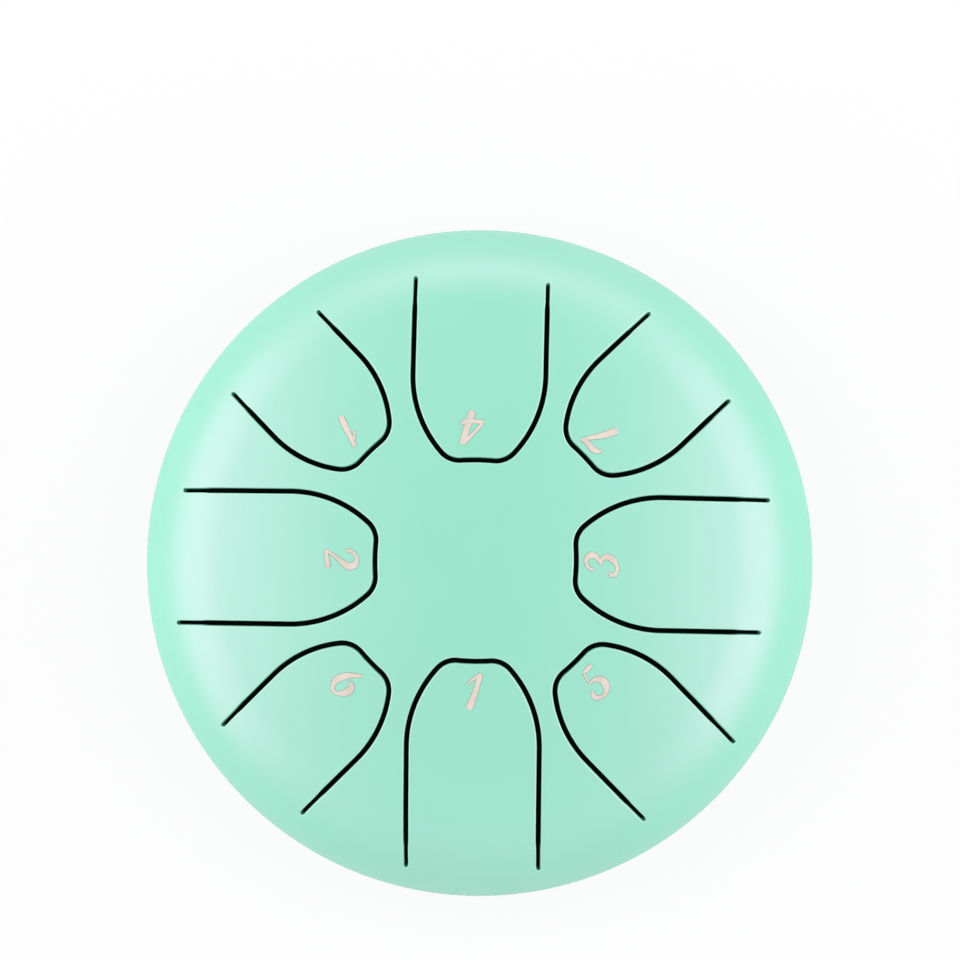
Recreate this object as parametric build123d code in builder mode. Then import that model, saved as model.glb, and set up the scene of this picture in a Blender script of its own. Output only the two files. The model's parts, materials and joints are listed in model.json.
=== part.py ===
from build123d import *
import os
from collections import namedtuple
from math import asin, cos, degrees, radians, sin, sqrt

# Steel tongue drum: two dished steel shells welded at the rim, with eight tuned tongues slit in the crown.
# Millimetres, +Z up. The origin is on the table, under the middle of the drum. -Y is the player's side.

# Shells
drum_diameter = 155.0  # over the walls of both shells
sheet = 1.2  # thickness of the steel
crown_radius = 170.0  # outside of the struck face
crown_knuckle = 27.0  # outside of the bend from the struck face into the wall
base_knuckle = 31.0  # outside of the bend from the flat base into the wall
skirt = 2.0  # straight wall of each shell, next to the seam
sound_hole_radius = 20.0
burr_radius = 0.35  # rounded edges of the sound hole

# Rim weld
weld_land = 0.4  # square edge of each shell, inside the bevel that the weld fills
weld_cap = 0.3  # height of the bead over the wall

# Slots and tongues: long tongues lie on the X and Y axes, short ones between them
slot_width = 1.2
root_gap = 0.1  # hairline at a tongue's root, where the steel bends
hub_radius = 23.2  # from the middle to the slot at the tip of a long tongue
tip_bow = 48.0  # radius of the hollow arc along a tip
long_rim_margin = 6.9  # from the root of the longest tongue to the wall
long_half_width = 15.35
long_flat = 3.75  # half of the hollow arc
long_corner = 5.65
long_side = 27.0  # arc from the tip's corner to the straight side
short_rim_margin = 7.9
short_half_width = 13.7
short_flat = 3.2
short_corner = 5.8
short_side = 26.0
web = 4.25  # steel between a long tongue and the short one next to it, slot to slot

# Feet
foot_count = 4
foot_start_angle = 45.0
foot_height = 6.5
foot_base_radius = 8.5
foot_tip_radius = 7.6
foot_round = 1.0  # rounded lower edge
foot_margin = 1.0  # from a foot to the edge of the flat base

# Foot fasteners
screw_radius = 2.0
screw_clearance = 0.2
thread_clearance = 0.05
screw_tail = 0.8  # length of the screw past its nut
head_radius = 4.0
head_height = 3.0
head_round = 1.1
head_recess = 0.7  # from the screw head to the table
cross_length = 4.4
cross_width = 1.1
cross_depth = 1.7
washer_radius = 4.5
washer_thickness = 0.8
washer_clearance = 0.25  # between the washer and the wall of its pocket
nut_across_flats = 7.0
nut_height = 3.7
nut_flange_radius = 5.0
nut_flange_height = 0.9

overrun = 1.0  # cuts pass this far beyond what they cut

# Tongues in order around the drum, counted from +X, long and short in turn
tongue_names = (
    "tongue_3",
    "tongue_7",
    "tongue_4",
    "tongue_1_high",
    "tongue_2",
    "tongue_6",
    "tongue_1_low",
    "tongue_5",
)

# Rise in pitch over the lowest tongue, as a share of an octave: the eight notes of a major scale
pitch_shares = {
    "tongue_1_low": 0,
    "tongue_2": 2 / 12,
    "tongue_3": 4 / 12,
    "tongue_4": 5 / 12,
    "tongue_5": 7 / 12,
    "tongue_6": 9 / 12,
    "tongue_7": 11 / 12,
    "tongue_1_high": 1,
}

# Angles, heights and radii
tongue_step = 360 / len(tongue_names)
base_z = foot_height
base_knuckle_z = base_z + base_knuckle
seam_z = base_knuckle_z + skirt
crown_knuckle_z = seam_z + skirt
wall_radius = drum_diameter / 2
weld_depth = sheet - weld_land
base_flat_radius = wall_radius - base_knuckle
crown_knuckle_radius = wall_radius - crown_knuckle
crown_arc_angle = degrees(asin(crown_knuckle_radius / (crown_radius - crown_knuckle)))
crown_center_z = crown_knuckle_z - sqrt((crown_radius - crown_knuckle) ** 2 - crown_knuckle_radius**2)
top_z = crown_center_z + crown_radius

# The revolved shells close in this plane, which passes between two tongues
profile_plane = Plane.XZ.rotated((0, 0, tongue_step / 2))

Shape = namedtuple("Shape", "half_width flat corner side bow")
Tongue = namedtuple("Tongue", "tip root plane shape")


def length_at_pitch(longest, rise_share):
    # A bar's pitch goes with the inverse square of its length, and doubles in an octave
    return longest / sqrt(2**rise_share)


def bow_lean(shape):
    # Angle from the middle of the hollow arc to its end
    return degrees(asin(shape.flat / shape.bow))


def corner_center(tip, shape):
    # The corner touches the hollow arc from the tongue's side
    lean = radians(bow_lean(shape))
    reach = shape.bow + shape.corner
    return tip - shape.bow + reach * cos(lean), reach * sin(lean)


def corner_turn(shape):
    # Angle of the corner arc that lets the side arc end along the tongue, at its half width
    corner_y = corner_center(0, shape)[1]
    return degrees(asin((corner_y + shape.side - shape.half_width) / (shape.side - shape.corner)))


def side_arc_center(tip, shape):
    corner_x = corner_center(tip, shape)[0]
    along = corner_x + (shape.side - shape.corner) * cos(radians(corner_turn(shape)))
    return along, shape.half_width - shape.side


def draw_outline(tip, root, shape, growth):
    # Hollow tip, then a corner, a long side arc and a straight side on each hand, all grown alike
    lean = bow_lean(shape)
    turn = corner_turn(shape)
    side_x, side_y = side_arc_center(tip, shape)
    half_width = shape.half_width + growth
    with BuildLine() as edge:
        CenterArc(corner_center(tip, shape), shape.corner + growth, 180 + lean, -lean - turn)
        CenterArc((side_x, side_y), shape.side + growth, 180 - turn, turn - 90)
        Line((side_x, half_width), (root, half_width))
        mirror(about=Plane.XZ)
        CenterArc((tip - shape.bow, 0), shape.bow - growth, -lean, 2 * lean)
        Line((root, half_width), (root, -half_width))
    make_face(edge.edges())


# Places of the tongues
long_shape = Shape(long_half_width, long_flat, long_corner, long_side, tip_bow)
short_shape = Shape(short_half_width, short_flat, short_corner, short_side, tip_bow)
longest_long = wall_radius - long_rim_margin - hub_radius

# A short tongue's side arc passes the side arc of the long tongue beside it at the width of the web
long_arc_x, long_arc_y = side_arc_center(hub_radius, long_shape)
short_arc_x, short_arc_y = side_arc_center(0, short_shape)
arc_distance = long_side + short_side + slot_width + web
step = radians(tongue_step)
long_arc_along = long_arc_x * cos(step) + long_arc_y * sin(step)
long_arc_across = long_arc_y * cos(step) - long_arc_x * sin(step)
short_tip = long_arc_along + sqrt(arc_distance**2 - (long_arc_across + short_arc_y) ** 2) - short_arc_x
longest_short = wall_radius - short_rim_margin - short_tip
short_middle = short_tip + longest_short / 2
lowest_short = min(pitch_shares[name] for name in tongue_names[1::2])

tongues = {}
for place, name in enumerate(tongue_names):
    plane = Plane.XY.rotated((0, 0, place * tongue_step))
    if place % 2 == 0:
        length = length_at_pitch(longest_long, pitch_shares[name])
        tongues[name] = Tongue(hub_radius, hub_radius + length, plane, long_shape)
    else:
        length = length_at_pitch(longest_short, pitch_shares[name] - lowest_short)
        tip = short_middle - length / 2
        tongues[name] = Tongue(tip, tip + length, plane, short_shape)

# Whole crown, before the slots are cut: a dished end of one thickness, bevelled for the weld
with BuildPart() as crown:
    with BuildSketch(profile_plane):
        with BuildLine():
            Line((wall_radius, seam_z + weld_depth), (wall_radius, crown_knuckle_z))
            CenterArc((crown_knuckle_radius, crown_knuckle_z), crown_knuckle, 0, 90 - crown_arc_angle)
            CenterArc((0, crown_center_z), crown_radius, 90 - crown_arc_angle, crown_arc_angle)
            Line((0, top_z), (0, top_z - sheet))
            CenterArc((0, crown_center_z), crown_radius - sheet, 90, -crown_arc_angle)
            CenterArc(
                (crown_knuckle_radius, crown_knuckle_z),
                crown_knuckle - sheet,
                90 - crown_arc_angle,
                crown_arc_angle - 90,
            )
            Line((wall_radius - sheet, crown_knuckle_z), (wall_radius - sheet, seam_z))
            Line((wall_radius - sheet, seam_z), (wall_radius - weld_depth, seam_z))
            Line((wall_radius - weld_depth, seam_z), (wall_radius, seam_z + weld_depth))
        make_face()
    revolve(axis=Axis.Z)

# Top shell: the crown with the eight slots cut and the tongues taken out
with BuildPart() as top_shell:
    add(crown.part)
    for tongue in tongues.values():
        with BuildSketch(tongue.plane):
            draw_outline(tongue.tip, tongue.root, tongue.shape, slot_width / 2)
            with Locations((tongue.root, tongue.shape.half_width), (tongue.root, -tongue.shape.half_width)):
                Circle(slot_width / 2)
        extrude(amount=top_z + overrun, mode=Mode.SUBTRACT)

# Tongues: what the slots leave of the crown
blades = {}
for name, tongue in tongues.items():
    with BuildPart() as blade:
        with BuildSketch(tongue.plane):
            draw_outline(tongue.tip, tongue.root - root_gap, tongue.shape, -slot_width / 2)
        extrude(amount=top_z + overrun)
        add(crown.part, mode=Mode.INTERSECT)
    blades[name] = blade.part

# Bottom shell: flat base with the sound hole and the foot holes, bevelled for the weld
foot_circle = base_flat_radius - foot_base_radius - foot_margin
with BuildPart() as bottom_shell:
    with BuildSketch(profile_plane):
        with BuildLine():
            Line((sound_hole_radius, base_z), (base_flat_radius, base_z))
            CenterArc((base_flat_radius, base_knuckle_z), base_knuckle, -90, 90)
            Line((wall_radius, base_knuckle_z), (wall_radius, seam_z - weld_depth))
            Line((wall_radius, seam_z - weld_depth), (wall_radius - weld_depth, seam_z))
            Line((wall_radius - weld_depth, seam_z), (wall_radius - sheet, seam_z))
            Line((wall_radius - sheet, seam_z), (wall_radius - sheet, base_knuckle_z))
            CenterArc((base_flat_radius, base_knuckle_z), base_knuckle - sheet, 0, -90)
            Line((base_flat_radius, base_z + sheet), (sound_hole_radius, base_z + sheet))
            Line((sound_hole_radius, base_z + sheet), (sound_hole_radius, base_z))
        make_face()
    revolve(axis=Axis.Z)
    fillet(bottom_shell.edges().filter_by(GeomType.CIRCLE).sort_by(SortBy.RADIUS)[:2], burr_radius)
    with BuildSketch(Plane.XY.offset(base_z)):
        with PolarLocations(foot_circle, foot_count, foot_start_angle):
            Circle(screw_radius + screw_clearance)
    extrude(amount=sheet + overrun, mode=Mode.SUBTRACT)

# Rim weld: a bead in the groove between the two bevels
with BuildPart() as rim_weld:
    with BuildSketch(profile_plane):
        with BuildLine():
            Line((wall_radius, seam_z - weld_depth), (wall_radius - weld_depth, seam_z))
            Line((wall_radius - weld_depth, seam_z), (wall_radius, seam_z + weld_depth))
            ThreePointArc(
                (wall_radius, seam_z + weld_depth),
                (wall_radius + weld_cap, seam_z),
                (wall_radius, seam_z - weld_depth),
            )
        make_face()
    revolve(axis=Axis.Z)

# Feet: rubber cones with a pocket for the screw head and its washer
washer_z = head_recess + head_height
pocket_depth = washer_z + washer_thickness
foot_names = ("foot_rear_right", "foot_rear_left", "foot_front_left", "foot_front_right")
feet = {}
foot_places = PolarLocations(foot_circle, foot_count, foot_start_angle).locations
for name, place in zip(foot_names, foot_places):
    with BuildPart(Plane(place)) as foot:
        Cone(foot_tip_radius, foot_base_radius, foot_height, align=(Align.CENTER, Align.CENTER, Align.MIN))
        fillet(foot.edges().group_by(Axis.Z)[0], foot_round)
        with BuildSketch(Plane(place)):
            Circle(washer_radius + washer_clearance)
        extrude(amount=pocket_depth, mode=Mode.SUBTRACT)
        with BuildSketch(Plane(place)):
            Circle(screw_radius + screw_clearance)
        extrude(amount=foot_height, mode=Mode.SUBTRACT)
    feet[name] = foot.part

# Foot fasteners, one solid for each foot
nut_z = base_z + sheet
screw_length = nut_z + nut_flange_height + nut_height + screw_tail - washer_z
with BuildPart() as foot_screws:
    with BuildSketch(Plane.XY.offset(head_recess)):
        with PolarLocations(foot_circle, foot_count, foot_start_angle):
            Circle(head_radius)
    extrude(amount=head_height)
    fillet(foot_screws.edges().group_by(Axis.Z)[0], head_round)
    with BuildSketch(Plane.XY.offset(washer_z)):
        with PolarLocations(foot_circle, foot_count, foot_start_angle):
            Circle(screw_radius)
    extrude(amount=screw_length)
    with BuildSketch(Plane.XY.offset(head_recess)):
        with PolarLocations(foot_circle, foot_count, foot_start_angle):
            Rectangle(cross_length, cross_width)
            Rectangle(cross_width, cross_length)
    extrude(amount=cross_depth, mode=Mode.SUBTRACT)

with BuildPart() as foot_washers:
    with BuildSketch(Plane.XY.offset(washer_z)):
        with PolarLocations(foot_circle, foot_count, foot_start_angle):
            Circle(washer_radius)
            Circle(screw_radius + screw_clearance, mode=Mode.SUBTRACT)
    extrude(amount=washer_thickness)

with BuildPart() as foot_nuts:
    with BuildSketch(Plane.XY.offset(nut_z)):
        with PolarLocations(foot_circle, foot_count, foot_start_angle):
            Circle(nut_flange_radius)
    extrude(amount=nut_flange_height)
    with BuildSketch(Plane.XY.offset(nut_z + nut_flange_height)):
        with PolarLocations(foot_circle, foot_count, foot_start_angle):
            RegularPolygon(nut_across_flats / 2, 6, major_radius=False)
    extrude(amount=nut_height)
    with BuildSketch(Plane.XY.offset(nut_z)):
        with PolarLocations(foot_circle, foot_count, foot_start_angle):
            Circle(screw_radius + thread_clearance)
    extrude(amount=nut_flange_height + nut_height, mode=Mode.SUBTRACT)

# One file for each node
nodes = {
    "top_shell": top_shell.part,
    **blades,
    "bottom_shell": bottom_shell.part,
    "rim_weld": rim_weld.part,
    **feet,
    "foot_screws": foot_screws.part,
    "foot_washers": foot_washers.part,
    "foot_nuts": foot_nuts.part,
}
os.makedirs("parts", exist_ok=True)
for name, part in nodes.items():
    part.label = name
    export_step(part, f"parts/{name}.step")
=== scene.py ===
import json

import bpy
import numpy as np
from mathutils import Matrix, Vector


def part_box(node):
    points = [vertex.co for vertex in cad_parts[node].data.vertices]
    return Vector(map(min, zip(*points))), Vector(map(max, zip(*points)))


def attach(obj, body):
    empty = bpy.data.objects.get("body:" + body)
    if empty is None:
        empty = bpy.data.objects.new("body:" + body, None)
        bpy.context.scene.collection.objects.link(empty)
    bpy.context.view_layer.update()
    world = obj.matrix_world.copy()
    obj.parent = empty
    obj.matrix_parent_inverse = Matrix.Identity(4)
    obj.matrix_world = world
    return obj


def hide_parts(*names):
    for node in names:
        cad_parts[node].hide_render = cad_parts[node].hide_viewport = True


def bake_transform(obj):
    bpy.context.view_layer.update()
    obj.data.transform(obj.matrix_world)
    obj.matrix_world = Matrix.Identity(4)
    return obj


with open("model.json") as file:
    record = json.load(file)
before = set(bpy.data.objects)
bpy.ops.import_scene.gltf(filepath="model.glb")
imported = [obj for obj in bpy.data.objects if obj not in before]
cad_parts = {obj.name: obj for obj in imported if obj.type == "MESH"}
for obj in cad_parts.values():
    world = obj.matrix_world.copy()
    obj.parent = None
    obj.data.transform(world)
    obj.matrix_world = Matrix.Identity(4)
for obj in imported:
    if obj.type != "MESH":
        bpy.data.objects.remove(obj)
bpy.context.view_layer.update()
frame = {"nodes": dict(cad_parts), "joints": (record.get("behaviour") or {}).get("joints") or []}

mm = 0.001


# Mesh helpers

weldStep = 2e-7        # metres; corners closer than this become one vertex


def sheetOf(points, normals, wrap=False, material=0):
    return {"points": points, "normals": normals, "wrap": wrap, "material": material}


def unit(vectors):
    length = np.linalg.norm(vectors, axis=-1, keepdims=True)
    return vectors / np.maximum(length, 1e-12)


# The grid's own normal: the cross product of its two directions, turned to the side that `towards` is on.
def gridNormals(points, towards, wrap=False):
    along = np.gradient(points, axis=0)
    if wrap:
        across = np.roll(points, -1, axis=1) - np.roll(points, 1, axis=1)
    else:
        across = np.gradient(points, axis=1)
    normals = unit(np.cross(along, across))
    side = np.sign(np.sum(normals * towards, axis=-1, keepdims=True))
    return normals * np.where(side == 0, 1, side)


# A piece from several grids: every quad is turned to face its grid's normals, corners that meet are welded
# into one vertex, and each face corner keeps the normal of its own grid, so edges stay crisp between grids.
def buildPiece(name, sheets, materials):
    places, quads, cornerNormals, tags = [], [], [], []
    start = 0
    for sheet in sheets:
        points = sheet["points"]
        rows, cols = points.shape[:2]
        index = np.arange(rows * cols).reshape(rows, cols)
        if sheet["wrap"]:
            index = np.concatenate([index, index[:, :1]], axis=1)
        corners = [index[:-1, :-1], index[1:, :-1], index[1:, 1:], index[:-1, 1:]]
        quad = np.stack(corners, axis=-1).reshape(-1, 4)
        flat = points.reshape(-1, 3)
        wanted = sheet["normals"].reshape(-1, 3)
        facing = np.cross(flat[quad[:, 2]] - flat[quad[:, 0]], flat[quad[:, 3]] - flat[quad[:, 1]])
        back = np.sum(facing * wanted[quad].mean(axis=1), axis=1) < 0
        quad[back] = quad[back][:, ::-1]
        places.append(flat)
        cornerNormals.append(wanted[quad])
        quads.append(quad + start)
        tags.append(np.full(len(quad), sheet["material"]))
        start += len(flat)
    places = np.concatenate(places)
    keys = np.round(places / weldStep).astype(np.int64)
    _, first, welded = np.unique(keys, axis=0, return_index=True, return_inverse=True)
    quads = welded.reshape(-1)[np.concatenate(quads)]
    keep = quads != np.roll(quads, -1, axis=1)        # a corner that repeats its neighbour is dropped
    whole = keep.sum(axis=1) >= 3
    quads, keep = quads[whole], keep[whole]
    cornerNormals = np.concatenate(cornerNormals)[whole][keep]
    sizes = keep.sum(axis=1)
    mesh = bpy.data.meshes.new(name)
    mesh.vertices.add(len(first))
    mesh.vertices.foreach_set("co", places[first].ravel())
    mesh.loops.add(int(sizes.sum()))
    mesh.loops.foreach_set("vertex_index", quads[keep])
    mesh.polygons.add(len(sizes))
    mesh.polygons.foreach_set("loop_start", np.concatenate([[0], np.cumsum(sizes)[:-1]]))
    mesh.polygons.foreach_set("material_index", np.concatenate(tags)[whole])
    mesh.update(calc_edges=True)
    mesh.shade_smooth()
    mesh.normals_split_custom_set(cornerNormals.tolist())
    for material in materials:
        mesh.materials.append(material)
    piece = bpy.data.objects.new(name, mesh)
    bpy.context.scene.collection.objects.link(piece)
    print("  made", name, len(mesh.polygons), "faces")
    return piece


# Rows of (outward, up) carried round a ring of plan directions: outward times the direction, up as it is.
def turned(rows, ring):
    size = (len(rows), len(ring), 1)
    return np.concatenate([rows[:, None, :1] * ring, np.broadcast_to(rows[:, None, 1:], size)], axis=-1)


# A lathe: each run of (radius, height) points is turned round the upright axis with the run's own left-hand
# normals, so a corner between two runs is sharp and a corner inside a run is smooth.
def lathe(runs, segments, material=0):
    turn = np.arange(segments) * 2 * np.pi / segments
    ring = np.stack([np.cos(turn), np.sin(turn)], axis=-1)
    sheets = []
    for run in runs:
        run = np.asarray(run, float)
        slope = unit(np.gradient(run, axis=0))
        lean = np.stack([slope[:, 1], -slope[:, 0]], axis=-1)
        sheets.append(sheetOf(turned(run, ring), turned(lean, ring), wrap=True, material=material))
    return sheets


# Points of an arc round (radius, height), from one angle to another in degrees.
def arcRun(centerR, centerZ, radius, start, end, count):
    angle = np.radians(np.linspace(start, end, count))
    return np.stack([centerR + radius * np.cos(angle), centerZ + radius * np.sin(angle)], axis=-1)


# Materials

def newGroup(name, inputs, outputs):
    group = bpy.data.node_groups.new(name, "ShaderNodeTree")
    for label, kind, value in inputs:
        socket = group.interface.new_socket(name=label, in_out="INPUT", socket_type=kind)
        if value is not None:
            socket.default_value = value
    for label, kind in outputs:
        group.interface.new_socket(name=label, in_out="OUTPUT", socket_type=kind)
    return group, group.nodes.new("NodeGroupInput"), group.nodes.new("NodeGroupOutput")


def addNoise(tree, vector, scale, detail, roughness=0.5):
    noise = tree.nodes.new("ShaderNodeTexNoise")
    noise.inputs["Detail"].default_value = detail
    noise.inputs["Roughness"].default_value = roughness
    tree.links.new(vector, noise.inputs["Vector"])
    if isinstance(scale, float):
        noise.inputs["Scale"].default_value = scale
    else:
        tree.links.new(scale, noise.inputs["Scale"])
    return noise.outputs["Fac"]


def addRange(tree, value, fromLow, fromHigh, toLow, toHigh):
    node = tree.nodes.new("ShaderNodeMapRange")
    tree.links.new(value, node.inputs["Value"])
    labels = ("From Min", "From Max", "To Min", "To Max")
    for label, number in zip(labels, (fromLow, fromHigh, toLow, toHigh)):
        if isinstance(number, float):
            node.inputs[label].default_value = number
        else:
            tree.links.new(number, node.inputs[label])
    return node.outputs["Result"]


skinNoise = {"grainDetail": 2.0, "driftDetail": 3.0, "driftRange": (0.3, 0.7)}
handlingNoise = {"scale": 38.0, "detail": 4.0, "roughness": 0.6, "range": (0.32, 0.68)}


# Fine skin of a finish: a small-scale height and a slow drift of tone, both from noise in object space.
def makeSkinGroup():
    group, given, out = newGroup(
        "finishSkin",
        [("Vector", "NodeSocketVector", None), ("Grain Scale", "NodeSocketFloat", 900.0),
         ("Drift Scale", "NodeSocketFloat", 25.0)],
        [("Height", "NodeSocketFloat"), ("Drift", "NodeSocketFloat")])
    place = given.outputs["Vector"]
    height = addNoise(group, place, given.outputs["Grain Scale"], skinNoise["grainDetail"])
    drift = addNoise(group, place, given.outputs["Drift Scale"], skinNoise["driftDetail"])
    share = addRange(group, drift, *skinNoise["driftRange"], 0.0, 1.0)
    group.links.new(height, out.inputs["Height"])
    group.links.new(share, out.inputs["Drift"])
    return group


# Handling: soft smudges that dull the gloss a little, between a low and a high roughness.
def makeHandlingGroup():
    group, given, out = newGroup(
        "handling",
        [("Vector", "NodeSocketVector", None), ("Low", "NodeSocketFloat", 0.3),
         ("High", "NodeSocketFloat", 0.4)],
        [("Roughness", "NodeSocketFloat")])
    noise = handlingNoise
    blot = addNoise(group, given.outputs["Vector"], noise["scale"], noise["detail"], noise["roughness"])
    value = addRange(group, blot, *noise["range"], given.outputs["Low"], given.outputs["High"])
    group.links.new(value, out.inputs["Roughness"])
    return group


skinGroup = makeSkinGroup()
handlingGroup = makeHandlingGroup()


# A finish: two close colours mixed by the skin's drift, roughness from handling, bump from the skin's
# height.
def makeFinish(name, look):
    material = bpy.data.materials.new(name)
    material.use_nodes = True
    tree = material.node_tree
    shader = tree.nodes["Principled BSDF"]
    place = tree.nodes.new("ShaderNodeTexCoord").outputs["Object"]
    skin = tree.nodes.new("ShaderNodeGroup")
    skin.node_tree = skinGroup
    skin.inputs["Grain Scale"].default_value = look["grainScale"]
    skin.inputs["Drift Scale"].default_value = look["driftScale"]
    handling = tree.nodes.new("ShaderNodeGroup")
    handling.node_tree = handlingGroup
    handling.inputs["Low"].default_value = look["roughness"][0]
    handling.inputs["High"].default_value = look["roughness"][1]
    tint = tree.nodes.new("ShaderNodeMix")
    tint.data_type = "RGBA"
    tint.inputs["A"].default_value = (*look["colors"][0], 1)
    tint.inputs["B"].default_value = (*look["colors"][1], 1)
    bump = tree.nodes.new("ShaderNodeBump")
    bump.inputs["Strength"].default_value = look["bump"]
    bump.inputs["Distance"].default_value = look["bumpHeight"]
    tree.links.new(place, skin.inputs["Vector"])
    tree.links.new(place, handling.inputs["Vector"])
    tree.links.new(skin.outputs["Drift"], tint.inputs["Factor"])
    tree.links.new(tint.outputs["Result"], shader.inputs["Base Color"])
    tree.links.new(handling.outputs["Roughness"], shader.inputs["Roughness"])
    tree.links.new(skin.outputs["Height"], bump.inputs["Height"])
    tree.links.new(bump.outputs["Normal"], shader.inputs["Normal"])
    for label, value in look["sockets"].items():
        shader.inputs[label].default_value = value
    return material


mintLook = {"colors": ((0.131, 0.606, 0.413), (0.139, 0.622, 0.425)),
            "grainScale": 1100.0, "driftScale": 22.0, "roughness": (0.40, 0.46),
            "bump": 0.12, "bumpHeight": 0.03 * mm,
            "sockets": {"IOR": 1.9, "Specular IOR Level": 1.0, "Specular Tint": (1, 0.35, 0.68, 1)}}
edgeHighlightLook = dict(mintLook, colors=((0.205, 0.645, 0.465), (0.215, 0.66, 0.478)))     # painted highlight: lighter, paler paint on the slots' rounded edges
beadLook = dict(mintLook, grainScale=420.0, bump=0.3, bumpHeight=0.08 * mm)
# painted shade: the drum's inside is near-black dark green steel, standing in for the shade of the closed
# cavity seen through the slots and the sound hole
insideShadeLook = {"colors": ((0.015, 0.034, 0.028), (0.024, 0.047, 0.039)),
              "grainScale": 700.0, "driftScale": 60.0, "roughness": (0.55, 0.75),
              "bump": 0.2, "bumpHeight": 0.05 * mm, "sockets": {"Metallic": 0.2}}
inkLook = {"colors": ((0.486, 0.426, 0.371), (0.596, 0.517, 0.458)),
           "grainScale": 1500.0, "driftScale": 260.0, "roughness": (0.4, 0.5),
           "bump": 0.1, "bumpHeight": 0.02 * mm, "sockets": {}}
# painted shade: darker, greener ink for the border along each numeral stroke
inkShadeLook = dict(inkLook, colors=((0.134, 0.18, 0.147), (0.2, 0.24, 0.2)))
rubberLook = {"colors": ((0.014, 0.014, 0.015), (0.024, 0.024, 0.025)),
              "grainScale": 1600.0, "driftScale": 90.0, "roughness": (0.62, 0.8),
              "bump": 0.35, "bumpHeight": 0.05 * mm, "sockets": {}}
zincLook = {"colors": ((0.55, 0.56, 0.57), (0.66, 0.67, 0.68)),
            "grainScale": 2600.0, "driftScale": 400.0, "roughness": (0.26, 0.42),
            "bump": 0.1, "bumpHeight": 0.01 * mm, "sockets": {"Metallic": 1.0}}

mintPaint = makeFinish("mintPaint", mintLook)
edgeHighlightPaint = makeFinish("edgeHighlightPaint", edgeHighlightLook)
beadPaint = makeFinish("beadPaint", beadLook)
insideShadeSteel = makeFinish("insideShadeSteel", insideShadeLook)
numeralInk = makeFinish("numeralInk", inkLook)
numeralEdgeShade = makeFinish("numeralEdgeShade", inkShadeLook)
footRubber = makeFinish("footRubber", rubberLook)
zincSteel = makeFinish("zincSteel", zincLook)
print("materials made")


# Crown: a dome that turns into a knuckle and a short skirt, slit round eight tongues

crownShape = {
    "sheet": 1.2 * mm,
    "domeRadius": 170 * mm,
    "knuckle": 27 * mm,
    "skirt": 2 * mm,
    "edgeRound": 0.36 * mm,      # radius on the upper edges of the slots
    "hub": 20 * mm,              # radius of the unslit middle
    "rim": 75.2 * mm,            # radius past the slots' ends
    "rootShare": 0.4,            # share of a sector's arc of the rim that lies behind a root
    "loftRows": 16,
    "hubRows": 12,
    "roundRows": 5,
    "rimRows": 20,
}
paintPlace, insideShadePlace, edgeHighlightPlace = 0, 1, 2        # where a shell's finishes stand in its list
slotShape = {
    "width": 1.2 * mm,
    "rootGap": 0.1 * mm,         # between a tongue's node and the crown's at the root
    "bow": 48 * mm,              # radius of the hollow tip
    "endRun": (6 * mm, 4 * mm),  # a slot narrows between these distances from its end
    "endNarrow": 0.12 * mm,      # by this much on each side
    "fan": 9 * mm,               # from a tip back to the point its face fans out from
    "longHalf": 14.5 * mm,       # a slot with a wider half than this is a long one
    # half width of the hollow tip, radii of corner and side, and half of the sector in degrees
    "long": {"flat": 3.75 * mm, "corner": 5.65 * mm, "side": 27 * mm, "sector": 25.7},
    "short": {"flat": 3.2 * mm, "corner": 5.8 * mm, "side": 26 * mm, "sector": 19.3},
    "counts": {"flat": 14, "corner": 14, "side": 32, "straight": 30, "end": 12},
    # how far the left leg of each slot, seen from its tip, runs on past the root
    "longerLeg": {"tongue_1_low": 0.2 * mm, "tongue_2": 1.05 * mm, "tongue_3": 1.6 * mm,
                  "tongue_4": 1.1 * mm, "tongue_5": 1.5 * mm, "tongue_6": 1.0 * mm,
                  "tongue_7": 0.8 * mm, "tongue_1_high": 0.05 * mm},
}
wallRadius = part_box("bottom_shell")[1].x
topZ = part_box("top_shell")[1].z
weldLow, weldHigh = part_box("rim_weld")
seamZ = (weldLow.z + weldHigh.z) / 2
weldDepth = (weldHigh.z - weldLow.z) / 2
weldReach = weldHigh.x
kneeZ = seamZ + crownShape["skirt"]
kneeR = wallRadius - crownShape["knuckle"]
domeZ = topZ - crownShape["domeRadius"]
domeTurn = np.arcsin(kneeR / (crownShape["domeRadius"] - crownShape["knuckle"]))     # dome meets knuckle
sheet = crownShape["sheet"]
halfSlot = slotShape["width"] / 2


# Points and normals of the crown over plan points: a sphere round the axis out to domeTurn, then a torus;
# depth goes inwards along the normal.
def crownSurface(plan, depth=0.0):
    r = np.hypot(plan[..., 0], plan[..., 1])
    dome, knee = crownShape["domeRadius"], crownShape["knuckle"]
    onDome = r < dome * np.sin(domeTurn)
    high = np.where(onDome, domeZ + np.sqrt(np.maximum(dome ** 2 - r ** 2, 0)),
                    kneeZ + np.sqrt(np.maximum(knee ** 2 - (r - kneeR) ** 2, 0)))
    lean = np.clip(np.where(onDome, r / dome, (r - kneeR) / knee), 0, 1)
    outward = plan / np.maximum(r, 1e-9)[..., None]
    points = np.concatenate([plan, high[..., None]], axis=-1)
    normals = np.concatenate([outward * lean[..., None], np.sqrt(1 - lean ** 2)[..., None]], axis=-1)
    return points - normals * depth, normals


eighthTurn = np.pi / 4        # from one tongue to the next


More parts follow.
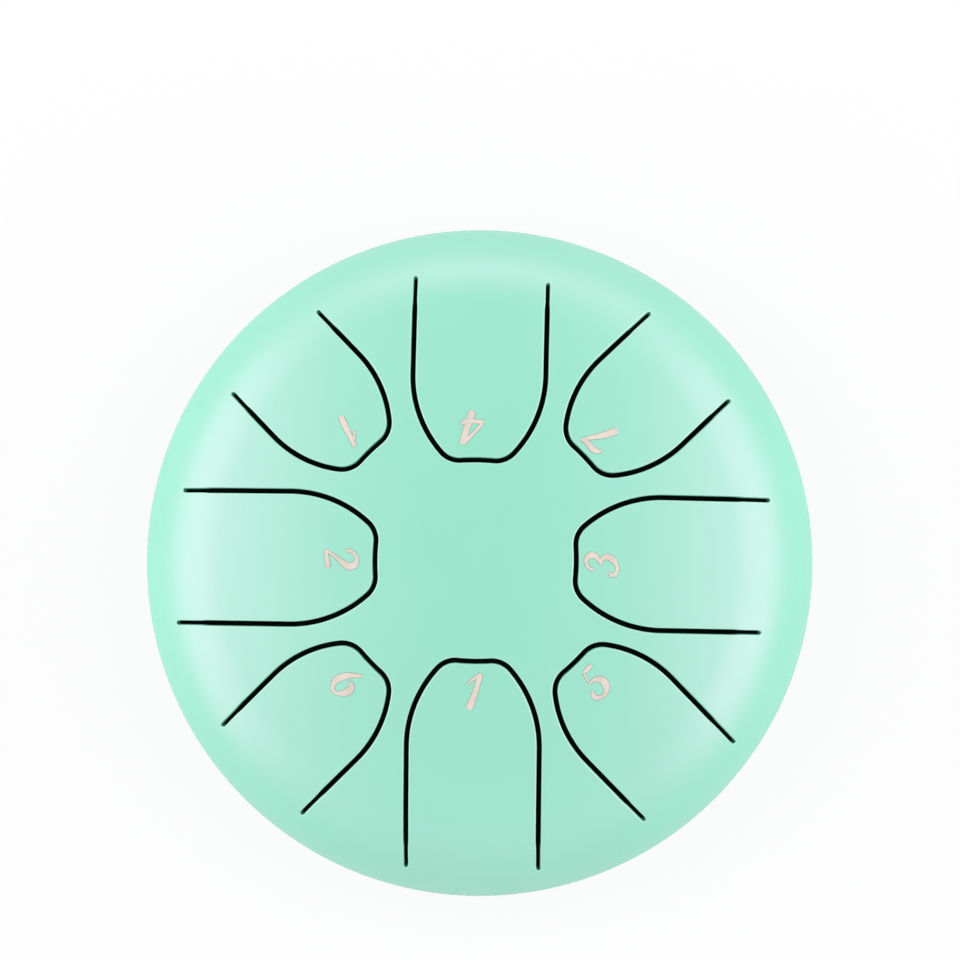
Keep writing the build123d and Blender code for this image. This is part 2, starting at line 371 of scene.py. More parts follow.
# What the frame says of one tongue: its direction, the slot's middle line at tip and root, and its half
# width.
def readTongue(joint):
    name = joint["child"]
    mesh = frame["nodes"][name].data
    co = np.empty(len(mesh.vertices) * 3)
    mesh.vertices.foreach_get("co", co)
    co = co.reshape(-1, 3)
    middle = co.mean(axis=0)
    angle = np.round(np.arctan2(middle[1], middle[0]) / eighthTurn) * eighthTurn
    out = np.array([np.cos(angle), np.sin(angle)])
    across = np.array([-out[1], out[0]])
    u, v = co[:, :2] @ out, co[:, :2] @ across
    half = np.abs(v).max() + halfSlot
    kind = "long" if half > slotShape["longHalf"] else "short"
    shape, bow = slotShape[kind], slotShape["bow"]
    hollow = (bow + shape["corner"]) * (1 - np.sqrt(1 - (shape["flat"] / bow) ** 2))
    return {"name": name, "kind": kind, "out": out, "across": across, "half": half,
            "tip": u.min() - halfSlot + hollow, "root": u.max() + slotShape["rootGap"]}


tongues = [readTongue(joint) for joint in frame["joints"]]


# From a tongue's own plan, u along it and v across it, to the drum's plan.
def toPlan(tongue, local):
    return local[..., :1] * tongue["out"] + local[..., 1:] * tongue["across"]


# Centres and angles of a tongue's outline: a hollow tip round a point towards the hub, a corner that
# touches it, and a side arc that ends along the tongue at its half width.
def outlineParts(tongue):
    shape, bow = slotShape[tongue["kind"]], slotShape["bow"]
    lean = np.arcsin(shape["flat"] / bow)
    reach = bow + shape["corner"]
    corner = np.array([tongue["tip"] - bow + reach * np.cos(lean), reach * np.sin(lean)])
    span = shape["side"] - shape["corner"]
    turn = np.arcsin((corner[1] + shape["side"] - tongue["half"]) / span)
    side = np.array([corner[0] + span * np.cos(turn), tongue["half"] - shape["side"]])
    return shape, bow, lean, corner, turn, side


# Directions in a tongue's own plan: 0 points from its tip to the hub, a quarter turn points aside.
def leaning(turn):
    return np.stack([-np.cos(turn), np.sin(turn)], axis=-1)


# How far a slot's edge stands off its middle line along the straight part: growth, and less near the end.
def straightOffset(tongue, growth, u):
    first, last = slotShape["endRun"]
    share = np.clip((u - tongue["root"] + first) / (first - last), 0, 1)
    return growth - np.sign(growth) * slotShape["endNarrow"] * share ** 2 * (3 - 2 * share)


# Half of a tongue's outline, from the middle of its tip to its root, moved out by growth, and its outward
# direction at each point.
def halfOutline(tongue, growth):
    counts = slotShape["counts"]
    shape, bow, lean, corner, turn, side = outlineParts(tongue)
    tipDir = leaning(-np.linspace(0, lean, counts["flat"] + 1))
    cornerDir = leaning(np.linspace(-lean, turn, counts["corner"] + 1)[1:])
    sideDir = leaning(np.linspace(turn, np.pi / 2, counts["side"] + 1)[1:])
    straightU = np.linspace(side[0], tongue["root"], counts["straight"] + 1)[1:]
    points = np.concatenate([
        np.array([tongue["tip"] - bow, 0]) - (bow - growth) * tipDir,
        corner + (shape["corner"] + growth) * cornerDir,
        side + (shape["side"] + growth) * sideDir,
        np.stack([straightU, tongue["half"] + straightOffset(tongue, growth, straightU)], axis=-1)])
    outward = np.concatenate([tipDir, cornerDir, sideDir, np.broadcast_to([0.0, 1.0], (len(straightU), 2))])
    return points, outward


# The same half outline met square on from given points outside it, so that lines between the two never
# cross; its straight part goes on to legEnd.
def outlineFacing(tongue, growth, given, legEnd):
    shape, bow, lean, corner, turn, side = outlineParts(tongue)
    u, v = given[:, 0], given[:, 1]
    tipTurn = np.arctan2(v, u - tongue["tip"] + bow)
    cornerTurn = np.arctan2(v - corner[1], corner[0] - u)
    sideTurn = np.arctan2(v - side[1], side[0] - u)
    stretch = (legEnd - side[0]) / (u.max() - side[0])
    straightU = side[0] + (u - side[0]) * stretch
    straight = np.stack([straightU, tongue["half"] + straightOffset(tongue, growth, straightU)], axis=-1)
    choices = [tipTurn <= lean, cornerTurn <= turn, u < side[0]]
    places = [np.array([tongue["tip"] - bow, 0]) - (bow - growth) * leaning(-tipTurn),
              corner + (shape["corner"] + growth) * leaning(cornerTurn),
              side + (shape["side"] + growth) * leaning(sideTurn)]
    facing = [leaning(-tipTurn), leaning(cornerTurn), leaning(sideTurn)]
    choices = [choice[:, None] for choice in choices]
    return np.select(choices, places, straight), np.select(choices, facing, np.array([0.0, 1.0]))


# Half of the edge of the sector round a tongue, in its own plan: an arc of the hub, a ray and an arc of the
# rim.
def sectorHalf(tongue):
    counts = slotShape["counts"]
    hub, rim = crownShape["hub"], crownShape["rim"]
    half = np.radians(slotShape[tongue["kind"]]["sector"])
    rootTurn = crownShape["rootShare"] * half
    turn = np.linspace(0, half, counts["flat"] + counts["corner"] + 1)
    ray = np.linspace(hub, rim, counts["side"] + counts["straight"] + 1)[1:]
    endShare = np.linspace(1, 0, counts["end"] + 1)[1:] ** 2        # closer together behind a slot's end
    back = np.concatenate([rootTurn + (half - rootTurn) * endShare,
                           np.linspace(rootTurn, 0, counts["flat"] + 1)[1:]])
    turns = np.concatenate([turn, np.full_like(ray, half), back])
    radii = np.concatenate([np.full_like(turn, hub), ray, np.full_like(back, rim)])
    return np.stack([radii * np.cos(turns), radii * np.sin(turns)], axis=-1)


# Half of the opening for one tongue: the half outline, the slot's round end a little past the root, the way
# back to the root, and half the root line.
def openingHalf(tongue, growth, longer):
    counts = slotShape["counts"]
    given = sectorHalf(tongue)[:-counts["end"] - counts["flat"]]
    legEnd = tongue["root"] + longer
    line, outward = outlineFacing(tongue, growth, given, legEnd)
    endTurn = np.linspace(np.pi / 2, -np.pi / 2, counts["end"])[1:]
    endDir = np.stack([np.cos(endTurn), np.sin(endTurn)], axis=-1)
    endRadius = straightOffset(tongue, growth, tongue["root"])
    rootV = np.linspace(tongue["half"] - endRadius, 0, counts["flat"] + 1)
    line = np.concatenate([line, np.array([legEnd, tongue["half"]]) + endRadius * endDir,
                           np.stack([np.full_like(rootV, tongue["root"]), rootV], axis=-1)])
    rootDir = np.broadcast_to([1.0, 0.0], (counts["flat"], 2))
    return line, np.concatenate([outward, endDir, [[0.0, -1.0]], rootDir])


# The whole opening as a closed ring: the half with the longer leg, and the other half mirrored.
def openingRing(tongue, growth):
    flip = np.array([1.0, -1.0])
    line, outward = openingHalf(tongue, growth, slotShape["longerLeg"][tongue["name"]])
    other, otherOut = openingHalf(tongue, growth, 0.0)
    ring = np.concatenate([line, other[-2:0:-1] * flip])
    ringOut = np.concatenate([outward, otherOut[-2:0:-1] * flip])
    return toPlan(tongue, ring), toPlan(tongue, ringOut)


# The edge of the sector round one tongue, point for point with its opening ring.
def sectorRing(tongue):
    line = sectorHalf(tongue)
    return toPlan(tongue, np.concatenate([line, line[-2:0:-1] * np.array([1.0, -1.0])]))


# Rows down a slot's rounded edge: offset back from the wall, depth, and lean towards the wall's normal,
# over a quarter turn.
def edgeRows():
    turn = np.linspace(0, np.pi / 2, crownShape["roundRows"])
    back = crownShape["edgeRound"] * (1 - np.sin(turn))
    down = crownShape["edgeRound"] * (1 - np.cos(turn))
    return list(zip(back, down, turn))


# The rounded edge along an outline and the wall below it; sign is 1 on the crown's side of a slot and -1 on
# the tongue's.
def edgeSheets(outline, sign):
    points, normals = [], []
    for back, down, turn in edgeRows():
        plan, outward = outline(sign * (halfSlot + back))
        place, up = crownSurface(plan, down)
        wall = np.concatenate([-sign * outward, np.zeros((len(outward), 1))], axis=-1)
        points.append(place)
        normals.append(unit(np.cos(turn) * up + np.sin(turn) * wall))
    low, _ = crownSurface(plan, sheet)
    wallPoints, wallNormals = np.stack([points[-1], low]), np.stack([normals[-1], normals[-1]])
    wrap = sign > 0
    # the rounded edge takes the lighter edge finish, a painted highlight along the slot
    return [sheetOf(np.stack(points), np.stack(normals), wrap=wrap, material=edgeHighlightPlace),
            sheetOf(wallPoints, wallNormals, wrap=wrap)]


# Points and normals between two rings: straight in plan, on the crown's surface in height.
def loftRings(inner, outer, rows, depth):
    share = np.linspace(0, 1, rows)[:, None, None]
    points, normals = crownSurface(inner + (outer - inner) * share, depth)
    return points, -normals if depth else normals


# The rim: knuckle angle from the slit zone to the skirt, then down to the bevel for the weld.
def rimRun(depth):
    knee = crownShape["knuckle"] - depth
    first = np.degrees(np.arccos((crownShape["rim"] - kneeR) / crownShape["knuckle"]))
    bend = arcRun(kneeR, kneeZ, knee, first, 0, crownShape["rimRows"])
    foot = seamZ if depth else seamZ + weldDepth
    return np.concatenate([bend, [[kneeR + knee, foot]]])


# A shell's bevel for the weld and the flat seam inside it: side is 1 above the seam and -1 below it.
def seamLip(side):
    return np.array([[wallRadius, seamZ + side * weldDepth], [wallRadius - weldDepth, seamZ],
                     [wallRadius - sheet, seamZ]])


# The crown: from each slot to the edge of its sector, then the hub inside the sectors and the rim outside.
def makeCrown():
    sheets, hubLines, rimLines = [], [], []
    counts = slotShape["counts"]
    arc = counts["flat"] + counts["corner"]
    for tongue in tongues:
        sector = sectorRing(tongue)
        top, _ = openingRing(tongue, halfSlot + crownShape["edgeRound"])
        low, _ = openingRing(tongue, halfSlot)
        outside = loftRings(top, sector, crownShape["loftRows"], 0.0)
        inside = loftRings(low, sector, crownShape["loftRows"] // 2, sheet)
        sheets += [sheetOf(*outside, wrap=True), sheetOf(*inside, wrap=True, material=insideShadePlace)]
        sheets += edgeSheets(lambda growth: openingRing(tongue, growth), 1)
        hubLines.append(np.roll(sector, arc, axis=0)[:2 * arc])
        middle = len(sector) // 2
        reach = counts["end"] + counts["flat"]
        rimLines.append(sector[middle - reach:middle + reach][::-1])
    order = np.argsort([np.arctan2(*tongue["out"][::-1]) % (2 * np.pi) for tongue in tongues])
    hubRing = np.concatenate([hubLines[i] for i in order])
    rimRing = np.concatenate([rimLines[i] for i in order])
    ring = unit(rimRing)
    for depth, place, way in ((0.0, paintPlace, 1), (sheet, insideShadePlace, -1)):
        points, normals = loftRings(hubRing, hubRing * 0, crownShape["hubRows"], depth)
        normals[-1] = (0, 0, way)
        sheets.append(sheetOf(points, normals, wrap=True, material=place))
        run = rimRun(depth)
        slope = unit(np.gradient(run, axis=0))
        lean = np.stack([-slope[:, 1], slope[:, 0]], axis=-1) * way
        sheets.append(sheetOf(turned(run, ring), turned(lean, ring), wrap=True, material=place))
    points = turned(seamLip(1), ring)
    sheets.append(sheetOf(points, np.broadcast_to([0.0, 0.0, -1.0], points.shape), wrap=True))
    return buildPiece("crown", sheets, [mintPaint, insideShadeSteel, edgeHighlightPaint])


crown = makeCrown()
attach(crown, "drum")
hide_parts("top_shell")


# Tongues: the crown's own surface inside each slot, with a cut face at the root


# A tongue's face: each row goes from the outline to a middle line and on to the other side; rows near the
# tip fan out from one point of that line, the others lie straight across.
def tongueFace(tongue, growth, depth):
    line, _ = halfOutline(tongue, growth)
    across = np.linspace(-1, 1, 2 * slotShape["counts"]["flat"] + 1)
    middle = np.maximum(line[:, :1], tongue["tip"] + slotShape["fan"])
    rows = np.stack([middle + (line[:, :1] - middle) * np.abs(across), line[:, 1:] * across], axis=-1)
    points, normals = crownSurface(toPlan(tongue, rows), depth)
    return points, -normals if depth else normals


# The open outline round a tongue, from the root on one side to the root on the other.
def tongueEdge(tongue, growth):
    line, outward = halfOutline(tongue, growth)
    flip = np.array([1.0, -1.0])
    line = np.concatenate([line[:0:-1] * flip, line])
    outward = np.concatenate([outward[:0:-1] * flip, outward])
    return toPlan(tongue, line), toPlan(tongue, outward)


# The cut face at the root, row by row down the edge's rows.
def rootFace(tongue):
    across = np.linspace(-1, 1, 2 * slotShape["counts"]["flat"] + 1)
    levels = [(back, down) for back, down, _ in edgeRows()] + [(0.0, sheet)]
    rows = []
    for back, down in levels:
        half = tongue["half"] + straightOffset(tongue, -halfSlot - back, tongue["root"])
        local = np.stack([np.full_like(across, tongue["root"]), across * half], axis=-1)
        rows.append(crownSurface(toPlan(tongue, local), down)[0])
    points = np.stack(rows)
    return sheetOf(points, np.broadcast_to([*tongue["out"], 0.0], points.shape))


# A tongue: its two faces, its cut root and its edges.
def makeTongue(tongue):
    edge = -(halfSlot + crownShape["edgeRound"])
    sheets = [sheetOf(*tongueFace(tongue, edge, 0.0)),
              sheetOf(*tongueFace(tongue, -halfSlot, sheet), material=insideShadePlace),
              rootFace(tongue)]
    sheets += edgeSheets(lambda growth: tongueEdge(tongue, growth), -1)
    piece = buildPiece(tongue["name"] + "_blade", sheets, [mintPaint, insideShadeSteel, edgeHighlightPaint])
    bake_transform(piece)
    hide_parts(tongue["name"])


for tongue in tongues:
    makeTongue(tongue)
print("crown and tongues made")


# Numerals: slanted pen strokes, each a smooth line with a width that swells and thins, lying on its tongue

# Each stroke: x right and y up, then widths, all in shares of the height, then whether each end is cut
# straight.
numeralShares = {
    "1": [([(0.16, 0.95), (0.02, 0.44), (-0.14, 0.02)], [0.12, 0.14, 0.18], False, True),
          ([(0.19, 0.96), (0.06, 0.88), (-0.06, 0.78), (-0.19, 0.67)],
           [0.07, 0.07, 0.06, 0.03], False, False)],
    "1high": [([(0.18, 0.96), (0.11, 0.78), (0.0, 0.42), (-0.14, 0.02)],
               [0.15, 0.12, 0.15, 0.17], True, True),
              ([(0.10, 0.80), (-0.03, 0.72), (-0.17, 0.58)], [0.06, 0.07, 0.04], False, False)],
    "2": [([(-0.20, 0.62), (-0.23, 0.72), (-0.14, 0.86), (0.02, 0.92), (0.17, 0.84), (0.19, 0.67),
            (0.05, 0.47), (-0.11, 0.27), (-0.25, 0.04)],
           [0.12, 0.09, 0.08, 0.10, 0.17, 0.18, 0.12, 0.07, 0.05], False, False),
          ([(-0.26, 0.05), (-0.09, 0.09), (0.09, 0.11), (0.24, 0.15)],
           [0.07, 0.10, 0.12, 0.14], False, True)],
    "3": [([(-0.13, 0.71), (-0.12, 0.83), (0.0, 0.93), (0.17, 0.93), (0.27, 0.80), (0.22, 0.65),
            (0.06, 0.54), (-0.03, 0.50)],
           [0.11, 0.08, 0.09, 0.13, 0.17, 0.13, 0.06, 0.05], False, False),
          ([(0.01, 0.53), (0.18, 0.47), (0.23, 0.33), (0.13, 0.15), (-0.07, 0.05), (-0.25, 0.09),
            (-0.30, 0.20), (-0.21, 0.30)],
           [0.05, 0.11, 0.17, 0.15, 0.09, 0.10, 0.11, 0.05], False, False)],
    "4": [([(0.22, 0.92), (-0.02, 0.68), (-0.28, 0.39)], [0.11, 0.08, 0.07], False, False),
          ([(-0.32, 0.35), (-0.05, 0.33), (0.18, 0.34), (0.31, 0.42)],
           [0.10, 0.11, 0.12, 0.07], False, False),
          ([(0.26, 0.96), (0.15, 0.55), (0.0, 0.04)], [0.16, 0.17, 0.18], True, True)],
    "5": [([(-0.02, 0.90), (0.14, 0.90), (0.30, 0.91)], [0.08, 0.11, 0.13], False, False),
          ([(-0.01, 0.92), (-0.06, 0.75), (-0.10, 0.57)], [0.06, 0.05, 0.05], False, False),
          ([(-0.11, 0.56), (0.07, 0.55), (0.20, 0.43), (0.21, 0.26), (0.09, 0.10), (-0.09, 0.07),
            (-0.25, 0.16), (-0.25, 0.28), (-0.17, 0.37)],
           [0.05, 0.10, 0.17, 0.19, 0.13, 0.09, 0.12, 0.11, 0.05], False, False)],
    "6": [([(0.22, 0.95), (0.05, 0.81), (-0.13, 0.60), (-0.24, 0.36), (-0.19, 0.15), (-0.06, 0.07),
            (0.07, 0.12), (0.18, 0.24), (0.23, 0.40), (0.18, 0.53), (0.09, 0.56), (0.02, 0.55)],
           [0.06, 0.10, 0.17, 0.18, 0.11, 0.08, 0.10, 0.16, 0.20, 0.15, 0.06, 0.03], False, False)],
    "7": [([(-0.30, 0.70), (-0.24, 0.83), (-0.09, 0.88), (0.12, 0.87), (0.32, 0.94)],
           [0.03, 0.11, 0.15, 0.13, 0.04], False, False),
          ([(0.31, 0.92), (0.15, 0.70), (-0.04, 0.40), (-0.20, 0.05)],
           [0.05, 0.10, 0.15, 0.20], False, True)],
}
numeralShape = {
    "proud": 0.07 * mm,
    "sunk": 0.15 * mm,
    "rim": 0.11 * mm,         # painted edge shade: a darker border inside a stroke's edge
    "rimShare": 0.5,          # and at most this share of the half width
    "ease": 0.86,             # height of the border's middle, as a share of the stroke's
    "cutShare": 0.22,         # how much of its half width a cut end is rounded by
    "fullShare": 0.02,        # half width, as a share of the height, from which a stroke is fully raised
    "layer": 0.04,            # share by which each further stroke lies lower, where strokes cross
    "steps": 72,              # sections along a stroke
    "bold": 0.13 * mm,        # added to each half width
    # for each tongue: figure, height, gap from the slot to the numeral's top, and sideways place
    "tongue_1_low": ("1", 8.75 * mm, 2.4 * mm, 0.2 * mm),
    "tongue_2": ("2", 8.5 * mm, 3.4 * mm, 0.15 * mm),
    "tongue_3": ("3", 8.0 * mm, 1.75 * mm, -0.45 * mm),
    "tongue_4": ("4", 8.5 * mm, 3.15 * mm, 1.35 * mm),
    "tongue_5": ("5", 8.3 * mm, 2.25 * mm, 0.05 * mm),
    "tongue_6": ("6", 8.3 * mm, 3.0 * mm, -0.65 * mm),
    "tongue_7": ("7", 8.55 * mm, 1.5 * mm, 0.65 * mm),
    "tongue_1_high": ("1high", 7.95 * mm, 2.75 * mm, 0.4 * mm),
}


inkPlace, inkShadePlace = 0, 1        # where a numeral's finishes stand in its list


# A smooth line through points: cubic pieces whose slope at each point is half the step between its
# neighbours.
def smoothLine(points, share):
    points = np.asarray(points, float)
    padded = np.concatenate([[2 * points[0] - points[1]], points, [2 * points[-1] - points[-2]]])
    spot = share * (len(points) - 1)
    piece = np.minimum(spot.astype(int), len(points) - 2)
    t = (spot - piece)[:, None]
    a, b, c, d = (padded[piece + k] for k in range(4))
    return 0.5 * (2 * b + (c - a) * t + (2 * a - 5 * b + 4 * c - d) * t ** 2
                  + (3 * b - a - 3 * c + d) * t ** 3)


# One stroke: the line carries a section as wide as the pen, with a flat top a little above the paint, a
# border that eases down to it and a floor a little below it.
def strokeSheets(tongue, stroke, place, lift):
    line, widths, firstCut, lastCut = stroke
    _, high, top, aside = place
    share = 0.5 - 0.5 * np.cos(np.linspace(0, np.pi, numeralShape["steps"]))
    path = smoothLine(line, share) * high
    width = smoothLine(np.asarray(widths, float)[:, None], share)[:, 0] * high / 2 + numeralShape["bold"]
    run = np.concatenate([[0], np.cumsum(np.linalg.norm(np.diff(path, axis=0), axis=1))])
    for reach, cut in ((run, firstCut), (run[-1] - run, lastCut)):        # each end is an arc, short if cut
        near = np.clip(reach / (width * (numeralShape["cutShare"] if cut else 1)), 0, 1)
        width = width * np.sqrt(np.maximum(1 - (1 - near) ** 2, 0))
    heading = unit(np.gradient(path, axis=0))
    side = np.stack([-heading[:, 1], heading[:, 0]], axis=-1)
    inner = width - np.minimum(numeralShape["rim"], width * numeralShape["rimShare"])
    middle = (inner + width) / 2
    right = [inner / 2, inner, middle, width]
    across = np.stack([-offset for offset in right[::-1]] + [0 * inner] + right, axis=-1)
    ease = np.array([0, numeralShape["ease"], 1, 1, 1, 1, 1, numeralShape["ease"], 0])
    flat = path[:, None] + side[:, None] * across[..., None]
    local = np.stack([tongue["tip"] + top + high - flat[..., 1], aside + flat[..., 0]], axis=-1)
    points, normals = crownSurface(toPlan(tongue, local))
    full = np.clip(width / (numeralShape["fullShare"] * high), 0, 1)[:, None, None]
    raised = points + normals * (ease[None, :, None] * lift * full)
    deep = points[:, [-1, 0]] - normals[:, [-1, 0]] * numeralShape["sunk"]
    under = np.concatenate([raised[:, [-1]], deep, raised[:, [0]]], axis=1)
    shading = gridNormals(raised, normals)
    # the border on each side of a stroke takes the darker ink, painted shade along its edges
    parts = ((slice(2, 7), inkPlace), (slice(0, 3), inkShadePlace), (slice(6, 9), inkShadePlace))
    sheets = [sheetOf(raised[:, part], shading[:, part], material=spot) for part, spot in parts]
    return sheets + [sheetOf(under, -normals[:, :4], material=inkShadePlace)]


# A numeral: its strokes one after the other, each a little lower, so that no two tops coincide.
def makeNumeral(tongue):
    place = numeralShape[tongue["name"]]
    sheets = []
    for count, stroke in enumerate(numeralShares[place[0]]):
        lift = numeralShape["proud"] * (1 - numeralShape["layer"] * count)
        sheets += strokeSheets(tongue, stroke, place, lift)
    piece = buildPiece(tongue["name"].replace("tongue", "numeral"), sheets, [numeralInk, numeralEdgeShade])
    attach(piece, tongue["name"])


for tongue in tongues:
    makeNumeral(tongue)
print("numerals made")


# Base shell, weld and feet

baseShape = {
    "knuckle": 31 * mm,
    "soundHole": 20 * mm,         # radius
    "burr": 0.35 * mm,            # radius on the edges of the sound hole
    "segments": 240,
    "burrRows": 6,
    "flatRows": 24,
    "bendRows": 40,
}
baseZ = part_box("bottom_shell")[0].z


# The base shell is turned: rounded edge of the sound hole, flat base, knuckle and wall, then back inside.
def makeBase():
    knuckle, hole, burr = baseShape["knuckle"], baseShape["soundHole"], baseShape["burr"]
    burrRows, bendRows = baseShape["burrRows"], baseShape["bendRows"]
    flatR = wallRadius - knuckle
    bendZ = baseZ + knuckle
    flat = np.linspace(hole + burr, flatR, baseShape["flatRows"])
    flatBack = np.linspace(flatR, hole + burr, baseShape["flatRows"])
    outer = np.concatenate([
        arcRun(hole + burr, baseZ + burr, burr, 180, 270, burrRows),
        np.stack([flat, np.full_like(flat, baseZ)], axis=-1)[1:],
        arcRun(flatR, bendZ, knuckle, -90, 0, bendRows)[1:],
        [[wallRadius, seamZ - weldDepth]]])
    inner = np.concatenate([
        [[wallRadius - sheet, seamZ]],
        arcRun(flatR, bendZ, knuckle - sheet, 0, -90, bendRows),
        np.stack([flatBack, np.full_like(flatBack, baseZ + sheet)], axis=-1)[1:],
        arcRun(hole + burr, baseZ + sheet - burr, burr, 90, 180, burrRows)[1:]])
    throat = np.array([[hole, baseZ + sheet - burr], [hole, baseZ + burr]])
    sheets = lathe([outer, throat], baseShape["segments"])
    sheets += lathe([seamLip(-1), inner], baseShape["segments"], material=insideShadePlace)
    return buildPiece("base_shell", sheets, [mintPaint, insideShadeSteel])


base = makeBase()
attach(base, "drum")
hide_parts("bottom_shell")

beadShape = {
    "ripples": 230,
    "ripple": 0.06 * mm,          # depth of a ripple
    "lag": 2.2,                   # radians by which a ripple trails at the bead's edges
    "crest": 0.02 * mm,           # ridge along the bead's middle
    "roundness": 0.999,           # just under 1, so that the edges stand off the wall a little
    "segments": 1380,
    "rows": 9,
}


# The weld: a low round bead over the bevels, its crest rising and falling once for each ripple.
def makeBead():
    turn = np.arange(beadShape["segments"]) * 2 * np.pi / beadShape["segments"]
    lift = np.linspace(-1, 1, beadShape["rows"])[:, None]
    wave = 0.5 - 0.5 * np.cos(turn * beadShape["ripples"] + beadShape["lag"] * lift ** 2)
    proud = weldReach - wallRadius - beadShape["ripple"] * wave
    radius = wallRadius + proud * np.sqrt(1 - lift ** 2 * beadShape["roundness"])
    radius = np.minimum(radius + beadShape["crest"] * (1 - np.abs(lift)), weldReach)
    high = seamZ + lift * weldDepth * np.ones_like(turn)
    points = np.stack([radius * np.cos(turn), radius * np.sin(turn), high], axis=-1)
    outward = np.stack([np.cos(turn), np.sin(turn), np.zeros_like(turn)], axis=-1)
    face = sheetOf(points, gridNormals(points, outward, wrap=True), wrap=True)
    root = points[[0, 0, -1]]
    root[1] = outward * (wallRadius - weldDepth) + np.array([0.0, 0.0, seamZ])
    back = sheetOf(root, np.broadcast_to(-outward, root.shape), wrap=True)
    return buildPiece("weld_bead", [face, back], [beadPaint])


bead = makeBead()
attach(bead, "drum")
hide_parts("rim_weld")
print("base and weld made")


# Painted shade inside the drum: the screws' ends above the base sheet turn near black.
screwShadeLook = {"color": (0.02, 0.021, 0.021, 1), "fade": 0.4 * mm}


# Painted shade on a finish above a height: it turns near black and loses its metal over a short fade.
def shadeZincInside(material, height):
    tree = material.node_tree
    shader = tree.nodes["Principled BSDF"]
    place = tree.nodes.new("ShaderNodeTexCoord").outputs["Object"]
    split = tree.nodes.new("ShaderNodeSeparateXYZ")
    tree.links.new(place, split.inputs["Vector"])
    whole = height + screwShadeLook["fade"]
    shadedShare = addRange(tree, split.outputs["Z"], float(height), float(whole), 0.0, 1.0)
    tint = tree.nodes.new("ShaderNodeMix")
    tint.data_type = "RGBA"
    tint.inputs["B"].default_value = screwShadeLook["color"]
    tree.links.new(shadedShare, tint.inputs["Factor"])
    tree.links.new(shader.inputs["Base Color"].links[0].from_socket, tint.inputs["A"])
    tree.links.new(tint.outputs["Result"], shader.inputs["Base Color"])
    tree.links.new(addRange(tree, shadedShare, 0.0, 1.0, 1.0, 0.0), shader.inputs["Metallic"])


footFinishes = {
    "foot_rear_right": footRubber,
    "foot_rear_left": footRubber,
    "foot_front_left": footRubber,
    "foot_front_right": footRubber,
    "foot_screws": zincSteel,
    "foot_washers": zincSteel,
    "foot_nuts": insideShadeSteel,
}
shadeZincInside(zincSteel, baseZ + sheet)
for name, finish in footFinishes.items():
    finishes = frame["nodes"][name].data.materials
    finishes.clear()
    finishes.append(finish)
print("feet and fasteners finished")


# Stage: pale floor, soft light, camera

stageShape = {
    "floor": 6.0,
    "floorColor": (0.66, 0.66, 0.66),
    "glow": 0.85,                   # share of plain white in what is seen directly
    "shade": (0.032, 0.076),        # painted shadow under the drum: distances from the middle where the glow starts and is whole
    "world": 0.86,
}


# 1 for rays from the camera, off a glossy surface or through glass, else 0.
def seenDirectly(tree):
    path = tree.nodes.new("ShaderNodeLightPath")
    value = path.outputs["Is Camera Ray"]
    for label in ("Is Glossy Ray", "Is Transmission Ray"):
        larger = tree.nodes.new("ShaderNodeMath")
        larger.operation = "MAXIMUM"
        tree.links.new(value, larger.inputs[0])
        tree.links.new(path.outputs[label], larger.inputs[1])
        value = larger.outputs["Value"]
    return value


# A flat floor: plain pale where it lights the drum and takes its shadow, near white where it is seen, and
# with a painted shadow under the drum, where the glow fades out.
def makeFloor():
    half = stageShape["floor"] / 2
    corners = [(-half, -half, 0), (half, -half, 0), (half, half, 0), (-half, half, 0)]
    mesh = bpy.data.meshes.new("floor")
    mesh.from_pydata(corners, [], [(0, 1, 2, 3)])
    floor = bpy.data.objects.new("floor", mesh)
    bpy.context.scene.collection.objects.link(floor)
    material = bpy.data.materials.new("paleFloor")
    material.use_nodes = True
    tree = material.node_tree
    tree.nodes.clear()
    out = tree.nodes.new("ShaderNodeOutputMaterial")
    cloth = tree.nodes.new("ShaderNodeBsdfDiffuse")
    cloth.inputs["Color"].default_value = (*stageShape["floorColor"], 1)
    white = tree.nodes.new("ShaderNodeEmission")
    mix = tree.nodes.new("ShaderNodeMixShader")
    far = tree.nodes.new("ShaderNodeVectorMath")
    far.operation = "LENGTH"
    tree.links.new(tree.nodes.new("ShaderNodeTexCoord").outputs["Object"], far.inputs[0])
    # painted shadow: the glow fades to nothing under the drum
    glow = addRange(tree, far.outputs["Value"], *stageShape["shade"], 0.0, stageShape["glow"])
    share = addRange(tree, seenDirectly(tree), 0.0, 1.0, 0.0, glow)
    tree.links.new(share, mix.inputs["Fac"])
    tree.links.new(cloth.outputs["BSDF"], mix.inputs[1])
    tree.links.new(white.outputs["Emission"], mix.inputs[2])
    tree.links.new(mix.outputs["Shader"], out.inputs["Surface"])
    mesh.materials.append(material)


def makeWorld():
    world = bpy.data.worlds.new("studio")
    bpy.context.scene.world = world
    world.use_nodes = True
    sky = world.node_tree.nodes["Background"]
    sky.inputs["Color"].default_value = (1, 1, 1, 1)
    sky.inputs["Strength"].default_value = stageShape["world"]


# name: place, aim, width, height, watts
softboxes = {
    "leftBox": ((-0.8, 0.1, 0.52), (0, 0.1, 0.52), 1.5, 1.02, 9.5),
    "rightBox": ((0.8, 0.1, 0.55), (0, 0.1, 0.55), 1.5, 0.96, 9.2),
    "backBox": ((0.0, 0.85, 0.2), (0, 0, 0.2), 1.2, 0.4, 2.0),
    "frontBox": ((0.0, -0.85, 0.6), (0, 0, 0.6), 1.6, 1.2, 1.8),
}


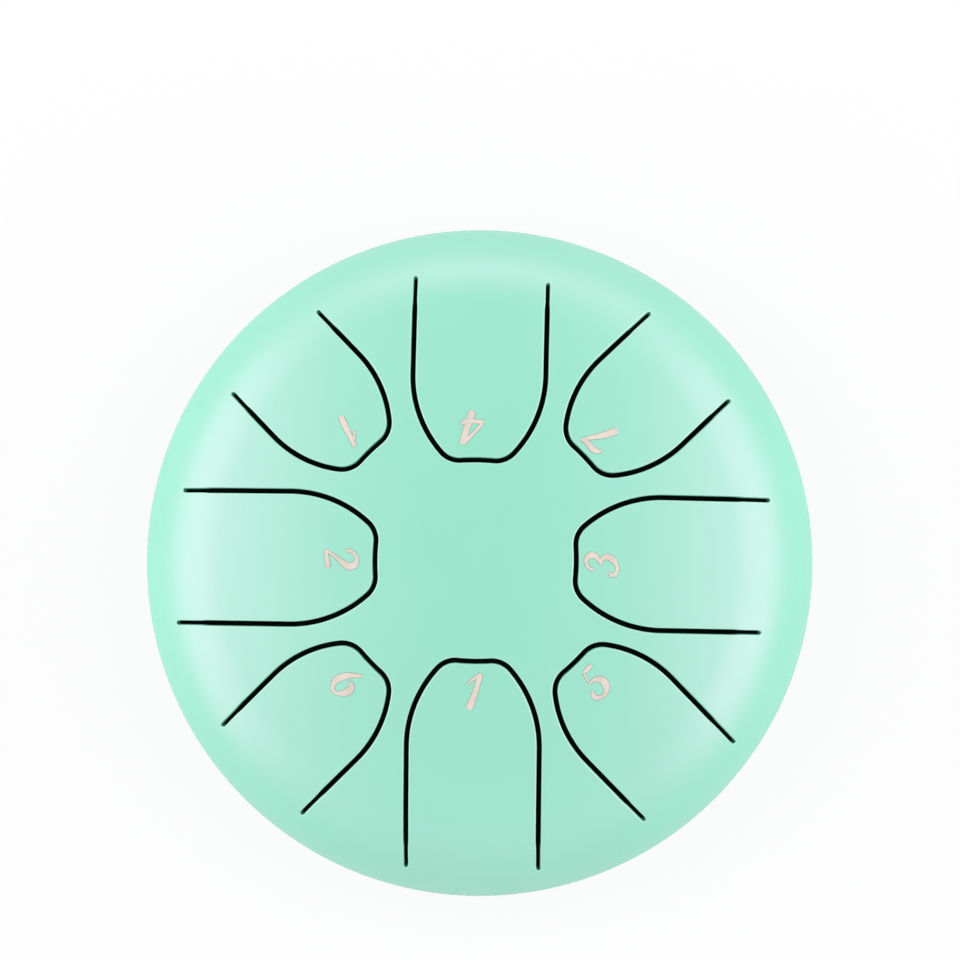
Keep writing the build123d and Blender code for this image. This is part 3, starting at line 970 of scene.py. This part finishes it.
def makeSoftbox(name, place, aim, width, high, watts):
    lamp = bpy.data.lights.new(name, "AREA")
    lamp.shape = "RECTANGLE"
    lamp.size, lamp.size_y, lamp.energy = width, high, watts
    box = bpy.data.objects.new(name, lamp)
    bpy.context.scene.collection.objects.link(box)
    box.location = place
    box.rotation_euler = (Vector(aim) - Vector(place)).to_track_quat("-Z", "Y").to_euler()
    box.visible_camera = False


cameraShape = {
    "distance": 2.2,
    "elevation": 88.07,             # degrees above the floor
    "azimuth": 47.68,               # degrees, 0 looks along +Y
    "roll": 1.02,                   # degrees
    "pictureSide": 960,             # pixels of the square picture
    "drumCenter": (479.45, 562.82),      # pixels, where the drum's outline is centred
    "drumRadius": 332.92,                # pixels
    "sensor": 36,                   # millimetres
    "clip": (0.05, 20),
}


# The camera's back is given by two angles; it is moved sideways until the drum's rim lies where it should.
def makeCamera():
    shape = cameraShape
    azimuth, elevation = np.radians(shape["azimuth"]), np.radians(shape["elevation"])
    level = np.cos(elevation)
    back = Vector((np.sin(azimuth) * level, -np.cos(azimuth) * level, np.sin(elevation)))
    roll = np.radians(shape["roll"])
    up = Vector((-np.sin(roll), np.cos(roll), 0))
    right = up.cross(back).normalized()
    up = back.cross(right)
    pixel = weldReach / shape["drumRadius"]
    middle = shape["pictureSide"] / 2
    aim = Vector((0, 0, seamZ)) + right * (middle - shape["drumCenter"][0]) * pixel
    aim -= up * (middle - shape["drumCenter"][1]) * pixel
    data = bpy.data.cameras.new("camera")
    data.sensor_width = shape["sensor"]
    data.lens = data.sensor_width * shape["distance"] / (pixel * shape["pictureSide"])
    data.clip_start, data.clip_end = shape["clip"]
    camera = bpy.data.objects.new("camera", data)
    bpy.context.scene.collection.objects.link(camera)
    turn = Matrix((right, up, back)).transposed().to_4x4()
    camera.matrix_world = Matrix.Translation(aim + back * shape["distance"]) @ turn
    bpy.context.scene.camera = camera


makeFloor()
makeWorld()
for name, values in softboxes.items():
    makeSoftbox(name, *values)
makeCamera()
bpy.context.scene.view_settings.view_transform = "Standard"
print("stage set")
